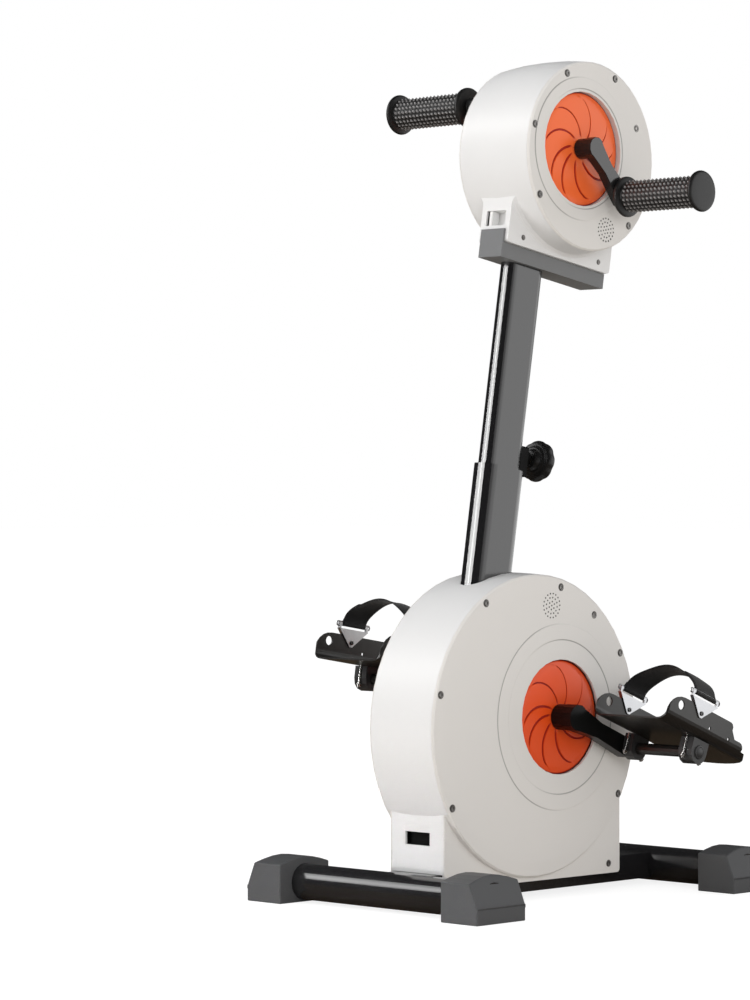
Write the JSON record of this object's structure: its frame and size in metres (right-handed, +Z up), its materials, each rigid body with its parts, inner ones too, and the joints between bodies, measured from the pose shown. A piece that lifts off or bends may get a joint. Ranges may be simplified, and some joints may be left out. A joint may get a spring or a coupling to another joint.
{
  "type": "arm and leg pedal exerciser",
  "caption": "Free-standing arm and leg pedal exerciser: two motor drums on a leaning telescopic post, strapped foot pedals below and hand grips above, on two foot tubes.",
  "frame": {"origin": "on the floor under the middle of the footprint", "axes": "+X along the crank axles, towards the side with the lower pedal forward in the picture; +Y towards the user; +Z up"},
  "size_m": [0.3924, 0.5188, 0.9741],
  "materials": {
    "white_plastic": "white moulded ABS, satin",
    "warm_grey_plastic": "warm light grey moulded ABS, fine texture",
    "orange_plastic": "orange moulded ABS, satin",
    "black_plastic": "black moulded plastic",
    "foot_plastic": "dark grey moulded plastic",
    "black_tube": "gloss black powder coat on steel tube",
    "grey_steel": "grey painted steel",
    "bracket_grey": "dark grey powder coat on sheet steel",
    "black_enamel": "black powder coat on steel",
    "dark_grey_enamel": "dark grey powder coat on steel",
    "clamp_black": "black moulded nylon",
    "bright_steel": "bright machined steel",
    "buckle_steel": "plated pressed steel",
    "motor_metal": "plated motor can",
    "board_green": "glass-fibre circuit board with its parts",
    "black_rubber": "black rubber",
    "black_webbing": "black woven webbing"
  },
  "bodies": {
    "frame": {"base_beam": "grey_steel", "front_foot_tube": "black_tube", "rear_foot_tube": "black_tube", "foot_cap_front_left": "foot_plastic", "foot_cap_front_right": "foot_plastic", "foot_cap_rear_left": "foot_plastic", "foot_cap_rear_right": "foot_plastic", "lower_rim_shell": "white_plastic", "lower_side_cover_left": "warm_grey_plastic", "lower_side_cover_right": "warm_grey_plastic", "power_inlet": "black_plastic", "post_sleeve": "black_tube", "sleeve_bush": "black_plastic", "lock_bracket": "black_tube", "lower_bearing_left": "bright_steel", "lower_bearing_right": "bright_steel", "crank_support": "grey_steel", "lower_motor": "motor_metal", "drive_belt": "black_rubber", "control_board": "board_green"},
    "lower_crank": {"lower_crank_axle": "bright_steel", "lower_crank_arm_left": "black_enamel", "lower_crank_arm_right": "black_enamel", "lower_swirl_disc_left": "orange_plastic", "lower_swirl_disc_right": "orange_plastic", "drive_pulley": "black_plastic"},
    "motor_rotor": {"motor_pulley": "bright_steel"},
    "mast": {"mast_tube": "black_tube", "mast_glide": "black_plastic", "head_bracket": "bracket_grey", "upper_rim_shell": "white_plastic", "upper_side_cover_left": "warm_grey_plastic", "upper_side_cover_right": "warm_grey_plastic", "upper_port_insert": "white_plastic", "upper_bearing_left": "bright_steel", "upper_bearing_right": "bright_steel", "upper_gear_motor": "motor_metal"},
    "upper_crank": {"upper_crank_axle": "bright_steel", "upper_crank_arm_left": "dark_grey_enamel", "upper_crank_arm_right": "dark_grey_enamel", "upper_swirl_disc_left": "orange_plastic", "upper_swirl_disc_right": "orange_plastic"},
    "grip_left": {"hand_grip_left": "black_rubber"},
    "grip_right": {"hand_grip_right": "black_rubber"},
    "lock_bolt": {"lock_bolt": "bright_steel"},
    "lock_knob": {"lock_knob": "black_plastic"},
    "pedal_left": {"pedal_tray_left": "black_enamel", "pedal_tube_left": "black_enamel", "pedal_clamp_inner_left": "clamp_black", "pedal_clamp_outer_left": "clamp_black", "pedal_strap_left": "black_webbing", "strap_buckle_inner_left": "buckle_steel", "strap_buckle_outer_left": "buckle_steel"},
    "pedal_right": {"pedal_tray_right": "black_enamel", "pedal_tube_right": "black_enamel", "pedal_clamp_inner_right": "clamp_black", "pedal_clamp_outer_right": "clamp_black", "pedal_strap_right": "black_webbing", "strap_buckle_inner_right": "buckle_steel", "strap_buckle_outer_right": "buckle_steel"}
  },
  "joints": [
    {"name": "lower_crank_spin", "type": "hinge", "parent": "frame", "child": "lower_crank", "pos_m": [0, 0.0224, 0.208], "axis": [1, 0, 0], "continuous": true},
    {"name": "motor_spin", "type": "hinge", "parent": "frame", "child": "motor_rotor", "pos_m": [0, 0.0924, 0.096], "axis": [1, 0, 0], "continuous": true},
    {"name": "mast_slide", "type": "slide", "parent": "frame", "child": "mast", "axis": [0, 0.1668, 0.986], "range_m": [-0.14, 0.08]},
    {"name": "upper_crank_spin", "type": "hinge", "parent": "mast", "child": "upper_crank", "pos_m": [0, 0.05649, 0.86779], "axis": [1, 0, 0], "continuous": true},
    {"name": "lock_bolt_slide", "type": "slide", "parent": "frame", "child": "lock_bolt", "axis": [0, 0.986, -0.1668], "range_m": [0, 0.003]},
    {"name": "lock_knob_turn", "type": "hinge", "parent": "lock_bolt", "child": "lock_knob", "pos_m": [0, -0.02526, 0.51518], "axis": [0, 0.986, -0.1668], "range_deg": [0, 720]},
    {"name": "pedal_left_spin", "type": "hinge", "parent": "lower_crank", "child": "pedal_left", "pos_m": [-0.1362, -0.06614, 0.24687], "axis": [1, 0, 0], "continuous": true},
    {"name": "grip_left_spin", "type": "hinge", "parent": "upper_crank", "child": "grip_left", "pos_m": [-0.137, 0.00783, 0.92221], "axis": [1, 0, 0], "continuous": true},
    {"name": "pedal_right_spin", "type": "hinge", "parent": "lower_crank", "child": "pedal_right", "pos_m": [0.1362, 0.11095, 0.16913], "axis": [1, 0, 0], "continuous": true},
    {"name": "grip_right_spin", "type": "hinge", "parent": "upper_crank", "child": "grip_right", "pos_m": [0.137, 0.10514, 0.81337], "axis": [1, 0, 0], "continuous": true}
  ],
  "couplings": [
    {"joint": "motor_spin", "follows": "lower_crank_spin", "ratio": 5.0909},
    {"joint": "lock_bolt_slide", "follows": "lock_knob_turn", "m_per_rad": 0.0002387}
  ]
}
